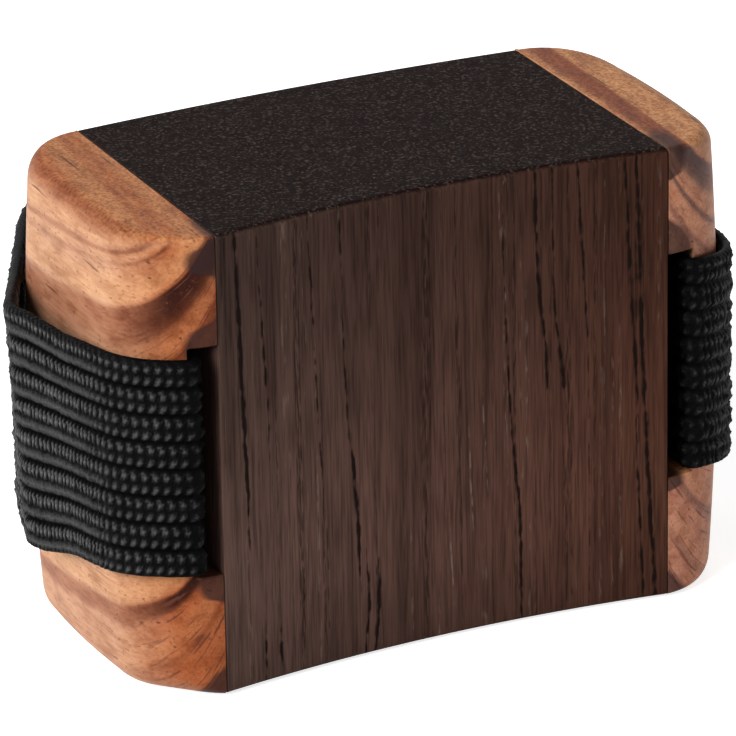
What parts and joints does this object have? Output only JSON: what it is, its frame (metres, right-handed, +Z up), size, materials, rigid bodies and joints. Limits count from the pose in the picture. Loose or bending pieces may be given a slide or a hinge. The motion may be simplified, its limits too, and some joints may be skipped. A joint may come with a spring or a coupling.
{
  "type": "finger shaker",
  "caption": "Hollow hardwood shaker block with pale end caps, loose steel shot in a closed chamber and an elastic strap that holds it on two fingers.",
  "frame": {"origin": "middle of the block's bottom face", "axes": "+X along the block to the right end cap, +Y through the back face to the finger loop, +Z up"},
  "size_m": [0.0536, 0.0417, 0.034],
  "materials": {
    "dark_hardwood": "satin oiled",
    "pale_hardwood": "satin lacquered",
    "black_elastic": "ribbed knit",
    "steel_shot": "polished"
  },
  "bodies": {
    "block": {"core_block": "dark_hardwood", "left_end_cap": "pale_hardwood", "right_end_cap": "pale_hardwood", "strap_left_tail": "black_elastic", "strap_right_tail": "black_elastic"},
    "finger_loop": {"strap_finger_loop": "black_elastic"},
    "shot_row1": {"shot_row1_ball1": "steel_shot", "shot_row1_ball2": "steel_shot", "shot_row1_ball3": "steel_shot", "shot_row1_ball4": "steel_shot", "shot_row1_ball5": "steel_shot", "shot_row1_ball6": "steel_shot"},
    "shot_row2": {"shot_row2_ball1": "steel_shot", "shot_row2_ball2": "steel_shot", "shot_row2_ball3": "steel_shot", "shot_row2_ball4": "steel_shot", "shot_row2_ball5": "steel_shot", "shot_row2_ball6": "steel_shot"},
    "shot_row3": {"shot_row3_ball1": "steel_shot", "shot_row3_ball2": "steel_shot", "shot_row3_ball3": "steel_shot", "shot_row3_ball4": "steel_shot", "shot_row3_ball5": "steel_shot", "shot_row3_ball6": "steel_shot"},
    "shot_row4": {"shot_row4_ball1": "steel_shot", "shot_row4_ball2": "steel_shot", "shot_row4_ball3": "steel_shot", "shot_row4_ball4": "steel_shot", "shot_row4_ball5": "steel_shot", "shot_row4_ball6": "steel_shot"}
  },
  "joints": [
    {"name": "strap_stretch", "type": "slide", "parent": "block", "child": "finger_loop", "axis": [0, 1, 0], "range_m": [0, 0.01], "stiffness_N_per_m": 250},
    {"name": "shot_row1_run", "type": "slide", "parent": "block", "child": "shot_row1", "axis": [1, 0, 0], "range_m": [-0.0057, 0.0117]},
    {"name": "shot_row2_run", "type": "slide", "parent": "block", "child": "shot_row2", "axis": [1, 0, 0], "range_m": [-0.0099, 0.0075]},
    {"name": "shot_row3_run", "type": "slide", "parent": "block", "child": "shot_row3", "axis": [1, 0, 0], "range_m": [-0.0071, 0.0103]},
    {"name": "shot_row4_run", "type": "slide", "parent": "block", "child": "shot_row4", "axis": [1, 0, 0], "range_m": [-0.0111, 0.0063]}
  ]
}
